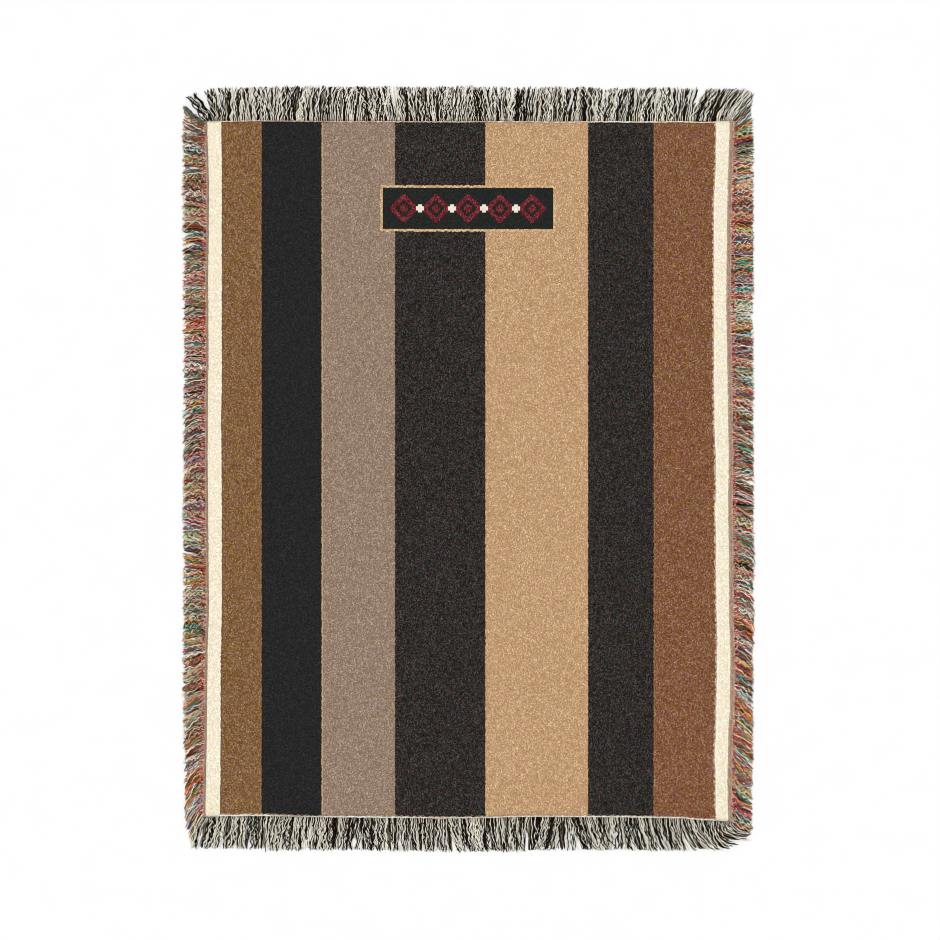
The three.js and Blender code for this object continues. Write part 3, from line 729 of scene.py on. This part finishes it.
def build_end_fringe(name, seed, table, s0, s1, rim, root_in, extra, root_shade, dark_corner, dark_run, root_to_tip, place):
    rng = np.random.default_rng(seed)
    # yarns that lie underneath, squashed, in mid and dark tones that are painted shade for the gaps under the top
    # yarns, with painted shade at their roots
    count, points = 470, 9
    path, radius = fringe(rng, table, s0 + 14, s1 - 10, rim, root_in, count, points, 3.8, (12, 26), (2.5, 1.5, 2.5), (1.4, (26, 40)), (0.0, (11, 15)), 0.2, extra - 1.5, rng.random(count) < 0.5, place)
    dyes = np.array([paint(c)[:3] for c in ((152, 138, 120), (116, 105, 90), (82, 72, 59), (42, 35, 27))])
    colour = dyes[rng.integers(0, len(dyes), count)] * rng.uniform(0.8, 1.15, (count, 1))
    path[..., 2] *= 0.5
    under = (path, radius, 4, along_yarn(rng, colour, points, 0.8), 110, 0.5)
    # yarns on top: dark and cream
    count, points = 600, 22
    dark = (np.arange(count) % 2).astype(bool)
    dark ^= (rng.random(count) < 0.2) & (np.abs(np.arange(count) / count - 0.5) < 0.47)
    dark |= rng.random(count) < dark_corner * (np.arange(count) < dark_run * count)
    path, radius = fringe(rng, table, s0, s1, rim, root_in, count, points, 2.45, (12, 26), (4.0, 2.0, 8.0), (3.0, (20, 38)), (0.5, (11, 15)), 3.4, extra, np.zeros(count, bool), place)
    path[..., 2] += 0.9
    colour = np.where(dark[:, None], np.array(paint(YARN["charcoal"])[:3])[None], np.array(paint(YARN["cream"])[:3])[None])
    colour = colour * np.where(dark, rng.uniform(0.7, 1.5, count), rng.uniform(0.78, 1.06, count))[:, None]
    return tubes(name, [(path, radius, 5, along_yarn(rng, colour, points, root_shade, 0.12, root_to_tip), 120, 1.0), under])


def build_side_fringe(name, seed, table, s0, s1, rim, root_in, extra, warm, root_shade, root_to_tip, loose, ragged, place):
    rng = np.random.default_rng(seed)
    # yarns that lie underneath, squashed, in muted dark tones that are painted shade for the gaps under the top yarns
    count, points = 620, 8
    path, radius = fringe(rng, table, s0, s1, rim, root_in, count, points, 4.4, (9, 14), (2.0, 1.2, 2.0), (1.0, (20, 30)), (0.0, (8, 12)), 0.2, extra - 2.0 * ragged, rng.random(count) < 0.2, place)
    dyes = np.array([paint(c)[:3] for c in UNDER_YARN])
    colour = dyes[rng.integers(0, len(dyes), count)] * rng.uniform(0.8, 1.15, (count, 1))
    path[..., 2] *= 0.5
    under = (path, radius, 4, along_yarn(rng, colour, points, root_shade, 0.0, root_to_tip), 124, 0.5)
    # yarns on top, every colour
    count, points = 720, 20
    # pale and deep yarns mostly take turns
    shares = np.array([share * (warm if is_warm else 1.0) for _, _, share, _, is_warm in SIDE_YARN])
    is_pale = np.array([y[3] for y in SIDE_YARN], bool)
    turn = (np.arange(count) % 2 == 0) ^ (rng.random(count) < 0.14)
    pale, deep = shares * is_pale, shares * ~is_pale
    drawn = np.where(turn, rng.choice(len(SIDE_YARN), count, p=pale / pale.sum()), rng.choice(len(SIDE_YARN), count, p=deep / deep.sum()))
    path, radius = fringe(rng, table, s0, s1, rim, root_in, count, points, 2.1, (11, 24), (3.0, 2.0, 9.0 * loose), (3.6 * loose, (13, 23)), (0.6, (8, 12)), 3.8, extra, np.zeros(count, bool), place, ragged)
    path[..., 2] += 0.8
    dyes = np.array([paint(y[1])[:3] for y in SIDE_YARN])
    grey = dyes.mean(1, keepdims=True)
    dyes = np.clip(grey + 1.16 * (dyes - grey), 0.004, 0.95)
    strength = rng.random(count)
    strength = np.where(is_pale[drawn], 0.94 + 0.36 * strength, 0.52 + 0.58 * strength)
    colour = np.minimum(dyes[drawn] * strength[:, None], 0.95)
    return tubes(name, [(path, radius, 5, along_yarn(rng, colour, points, root_shade, 0.3, root_to_tip), 144, 1.0), under])


def build_root_loops(name, seed, s0, s1, rim, place):
    """Short red and pink wraps that bind the roots of the side yarns."""
    rng = np.random.default_rng(seed)
    count, m = 600, 5
    t = np.linspace(-0.5, 0.5, m)[None, :]
    at = s0 + (s1 - s0) * (np.arange(count) + 0.5 + rng.uniform(-0.4, 0.4, count)) / count
    out = rng.normal(5.0, 2.6, count)
    size = rng.uniform(4.5, 8.5, count)[:, None]
    lean = (rng.choice([-1.0, 1.0], count) * rng.uniform(15, 65, count))[:, None] * math.pi / 180
    s = at[:, None] + size * t * np.sin(lean) + 0.6 * np.sin(2 * np.pi * t)
    o = (rim(at) + out)[:, None] + size * t * np.cos(lean)
    r = 1.05 * rng.uniform(0.85, 1.15, count)[:, None] * np.sqrt(np.clip(1 - (1.75 * t) ** 4, 0.15, 1))
    z = rng.uniform(2.8, 5.0, count)[:, None] + 1.1 * np.cos(np.pi * t)
    dyes = np.array([paint(c)[:3] for c in LOOP_YARN])
    colour = np.minimum(dyes[rng.integers(0, len(dyes), count)] * rng.uniform(0.85, 1.12, (count, 1)), 0.95)
    return tubes(name, [(place(s, o, z), np.broadcast_to(r, s.shape).copy(), 4, along_yarn(rng, colour, m), 80, 1.0)])


# ---------------------------------------------------------------- stitch rows


def stitch_row(name, seed, s0, s1, rim, place, rows, pitch, long_mm, columns, slant, line=None):
    """Short overlapping stitches along an edge: each a small bent capsule.
    rows gives each line's distance inside the edge, tilt, thickness, colours, and the share of its stitches that don't show.
    line, if given, is a table of how far the row strays inwards and how bright it is along the edge."""
    rng = np.random.default_rng(seed)
    paths, radii, colours = [], [], []
    m = 4
    t = np.linspace(-0.5, 0.5, m)[None, :]
    stray, bright = (curve(line["at"], line[c]) for c in ("in", "bright")) if line else (np.zeros_like, np.ones_like)
    for inset, tilt, thick_mm, dyes, hidden in rows:
        count = int((s1 - s0) / pitch)
        at = s0 + (np.arange(count) + 0.5) * (s1 - s0) / count + rng.normal(0, 0.25, count)
        at = at[rng.random(count) >= hidden]
        count = len(at)
        size = long_mm * rng.uniform(0.85, 1.2, count)[:, None]
        lean = (slant * tilt + rng.normal(0, 7, count))[:, None] * math.pi / 180
        s = at[:, None] + size * t * np.cos(lean)
        o = (rim(at) - inset - stray(at) + rng.normal(0, 0.35, count))[:, None] + size * t * np.sin(lean)
        r = thick_mm / 2 * rng.uniform(0.85, 1.15, count)[:, None] * np.sqrt(np.clip(1 - (1.7 * t) ** 4, 0.12, 1))
        z = CLOTH_THICK + thick_mm * 0.16 + thick_mm * 0.30 * np.cos(np.pi * t) + np.zeros_like(s)
        paths.append(place(s, o, z))
        radii.append(np.broadcast_to(r, s.shape).copy())
        pickd = rng.integers(0, len(dyes), count)
        c = np.minimum(np.array([paint(d)[:3] for d in dyes])[pickd] * rng.uniform(0.86, 1.1, (count, 1)) * bright(at)[:, None], 0.95)
        colours.append(np.repeat(c[:, None, :], m, axis=1))
    return tubes(name, [(np.concatenate(paths), np.concatenate(radii), 4, np.concatenate(colours), columns, 1.0)])


# ---------------------------------------------------------------- put together


def on_top(s, o, z):
    return np.stack(np.broadcast_arrays(s, o, z), -1)


def on_bottom(s, o, z):
    return np.stack(np.broadcast_arrays(s, -o, z), -1)


def on_left(s, o, z):
    return np.stack(np.broadcast_arrays(-o, s, z), -1)


def on_right(s, o, z):
    return np.stack(np.broadcast_arrays(o, s, z), -1)


def rim_top(s):
    return edge_top(s)


def rim_bottom(s):
    return -edge_bottom(s)


def rim_left(s):
    return -edge_left(s)


def rim_right(s):
    return edge_right(s)


cloth = build_cloth()
cloth.data.materials.append(cloth_material())
end_yarn = yarn_material("end_yarn")
side_yarn = yarn_material("side_yarn")
thread = yarn_material("edge_thread")

fringe_top = build_end_fringe("yarn_ends_top", 101, TOP, TL[0], TR[0], rim_top, 0.2, 1.2, 0.85, 0.6, 0.014, (1.0, 1.0), on_top)
fringe_bottom = build_end_fringe("yarn_ends_bottom", 202, BOTTOM, BL[0] - 3, BR[0], lambda s: rim_bottom(s) + np.where(s > 597, 1.0, 0.0), 2.0, 0.9, 0.66, 0.08, 0.03, (0.92, 0.98), on_bottom)
fringe_left = build_side_fringe("yarn_ends_left", 303, LEFT, BL[1], TL[1], rim_left, 1.0, 0.8, 1.05, 1.3, (1.06, 1.3), 1.25, 2.1, on_left)
fringe_right = build_side_fringe("yarn_ends_right", 404, RIGHT, BR[1], TR[1], rim_right, 1.0, 0.2, 1.2, 1.08, (1.2, 1.28), 1.05, 1.0, on_right)

cream_thread = [(250, 242, 224), (240, 226, 206), (254, 249, 236), (238, 216, 202)]
dull_thread = [(214, 190, 162), (216, 178, 156), (196, 174, 150)]
sand_thread = [(210, 196, 174), (200, 168, 150), (188, 176, 154), (222, 210, 188), (182, 150, 132)]
rosy_thread = [(238, 180, 160), (220, 160, 143), (246, 193, 173), (203, 152, 135), (252, 201, 182)]
taupe_thread = [(200, 176, 151), (188, 161, 138), (208, 179, 157), (181, 163, 140), (212, 171, 150)]
left_thread = [(180, 168, 142), (170, 153, 130), (188, 170, 148), (164, 156, 132), (192, 163, 141)]
beige_thread = [(204, 180, 160), (194, 164, 146), (214, 194, 174), (186, 162, 142)]
loops_left = build_root_loops("root_wraps_left", 21, BL[1] + 10, TL[1] - 8, rim_left, on_left)
loops_right = build_root_loops("root_wraps_right", 22, BR[1] + 16, TR[1] - 8, rim_right, on_right)
LINE_TOP = {"at": [-592, -540, -420, -260, -60, 160, 370, 520, 596], "in": [-1.5, -1.5, -0.9, 0.6, 0.2, 0.5, -0.2, 0.7, 0.4], "bright": [1.5, 1.5, 0.85, 1.3, 1.15, 1.4, 2.1, 1.7, 1.7]}
LINE_BOTTOM = {"at": [-592, -540, -420, -260, -60, 160, 370, 520, 596], "in": [1.1, 1.1, 0.1, -0.4, -0.8, 0.2, -0.6, -1.2, -1.2], "bright": [1.4, 1.4, 0.7, 1.15, 0.9, 0.95, 1.05, 1.0, 1.0]}
stitch_top = stitch_row("stitch_top", 11, -592.0, 595.0, rim_top, on_top, [(2.6, 1, 2.8, sand_thread, 0.0)], 3.8, 5.6, 60, 18, LINE_TOP)
stitch_bottom = stitch_row("stitch_bottom", 12, -596.0, 595.0, rim_bottom, on_bottom, [(3.6, 1, 3.0, cream_thread, 0.0), (6.6, -1, 1.4, dull_thread, 0.45)], 3.8, 6.4, 60, 18, LINE_BOTTOM)
stitch_left = stitch_row("stitch_left", 13, BL[1], TL[1], rim_left, on_left, [(1.4, 1, 1.7, rosy_thread, 0.0), (5.0, -1, 1.7, left_thread, 0.0)], 4.8, 5.4, 80, 20)
stitch_right = stitch_row("stitch_right", 14, BR[1], TR[1], rim_right, on_right, [(2.0, 1, 1.7, rosy_thread, 0.0), (5.6, -1, 1.7, taupe_thread, 0.0), (9.0, 1, 1.6, beige_thread, 0.0)], 4.8, 5.4, 80, 20)

for o in (fringe_top, fringe_bottom):
    o.data.materials.append(end_yarn)
for o in (fringe_left, fringe_right, loops_left, loops_right):
    o.data.materials.append(side_yarn)
for o in (stitch_top, stitch_bottom, stitch_left, stitch_right):
    o.data.materials.append(thread)

stitches = [loops_left, loops_right, stitch_top, stitch_bottom, stitch_left, stitch_right]
fringes = [fringe_top, fringe_bottom, fringe_left, fringe_right]
for o in [cloth, *fringes, *stitches]:
    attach(o, "root")
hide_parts("throw_body")
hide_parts("fringe_top")
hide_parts("fringe_bottom")
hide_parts("fringe_left")
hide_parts("fringe_right")

# ---------------------------------------------------------------- stage, light, camera

floor_mesh = bpy.data.meshes.new("floor")
half = 30.0
floor_mesh.from_pydata([(-half, -half, -0.0006), (half, -half, -0.0006), (half, half, -0.0006), (-half, half, -0.0006)], [], [(0, 1, 2, 3)])
floor = bpy.data.objects.new("floor", floor_mesh)
bpy.context.scene.collection.objects.link(floor)
fg = Graph("pale_floor")
mottle = fg.noise(fg.node("ShaderNodeTexCoord").outputs["Object"], 14.0, 2.0).outputs["Fac"]
floor_mesh.materials.append(fg.surface(fg.ramp(mottle, [(0.3, (0.933, 0.933, 0.933, 1.0)), (0.7, (0.939, 0.939, 0.939, 1.0))]), roughness=1.0, specular=0.0))

world = bpy.data.worlds.new("studio")
bpy.context.scene.world = world
world.use_nodes = True
bg = world.node_tree.nodes.get("Background") or world.node_tree.nodes.new("ShaderNodeBackground")
bg.inputs["Color"].default_value = (1.0, 1.0, 1.0, 1.0)
bg.inputs["Strength"].default_value = 0.60

lamp_data = bpy.data.lights.new("soft_sun", "SUN")
lamp_data.energy = 1.56
lamp_data.angle = math.radians(30)
lamp = bpy.data.objects.new("soft_sun", lamp_data)
lamp.location = (-1.0, 1.6, 5.0)
lamp.rotation_euler = (-lamp.location).to_track_quat("-Z", "Y").to_euler()
bpy.context.scene.collection.objects.link(lamp)

cam_data = bpy.data.cameras.new("camera")
cam_data.lens = 85.0
cam_data.sensor_width = 36.0
cam = bpy.data.objects.new("camera", cam_data)
FRAME_M = 2.256  # what the picture's 940 pixels span at the cloth
cam.location = (0.0046, -0.0022, FRAME_M * cam_data.lens / cam_data.sensor_width + 0.0024)
cam.rotation_euler = (0.0, 0.0, 0.0)
cam_data.clip_end = 200.0
bpy.context.scene.collection.objects.link(cam)
bpy.context.scene.camera = cam

bpy.context.scene.view_settings.view_transform = "Standard"
bpy.context.scene.view_settings.look = "None"
bpy.context.scene.cycles.filter_width = 1.0  # crisp edges, one pixel to about one yarn
